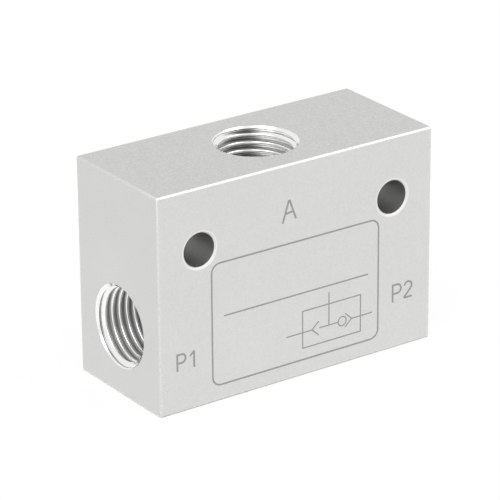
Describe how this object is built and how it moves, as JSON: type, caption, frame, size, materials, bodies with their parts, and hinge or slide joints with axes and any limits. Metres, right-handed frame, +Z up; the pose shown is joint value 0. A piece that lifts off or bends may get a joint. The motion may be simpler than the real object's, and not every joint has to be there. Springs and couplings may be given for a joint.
{
  "type": "shuttle valve",
  "caption": "Pneumatic shuttle valve block with opposed threaded inlets, a threaded outlet on top, cross mounting holes and a loose shuttle that closes the inlet with less pressure.",
  "frame": {"origin": "centre of the block's bottom face", "axes": "+X along the shuttle's axis from inlet P1 to inlet P2, +Y from the marked face to the back, +Z up through outlet A"},
  "size_m": [0.051, 0.022, 0.0356],
  "materials": {
    "block": "satin clear anodised",
    "bush": "turned",
    "nitrile": "matte",
    "acetal": "moulded"
  },
  "bodies": {
    "valve_body": {"body": "block", "seat_bush": "bush", "seat_o_ring": "nitrile"},
    "shuttle": {"shuttle_core": "acetal", "shuttle_seal_p1": "nitrile", "shuttle_seal_p2": "nitrile"}
  },
  "joints": [
    {"name": "shuttle_slide", "type": "slide", "parent": "valve_body", "child": "shuttle", "axis": [1, 0, 0], "range_m": [-0.00125, 0.00125]}
  ]
}
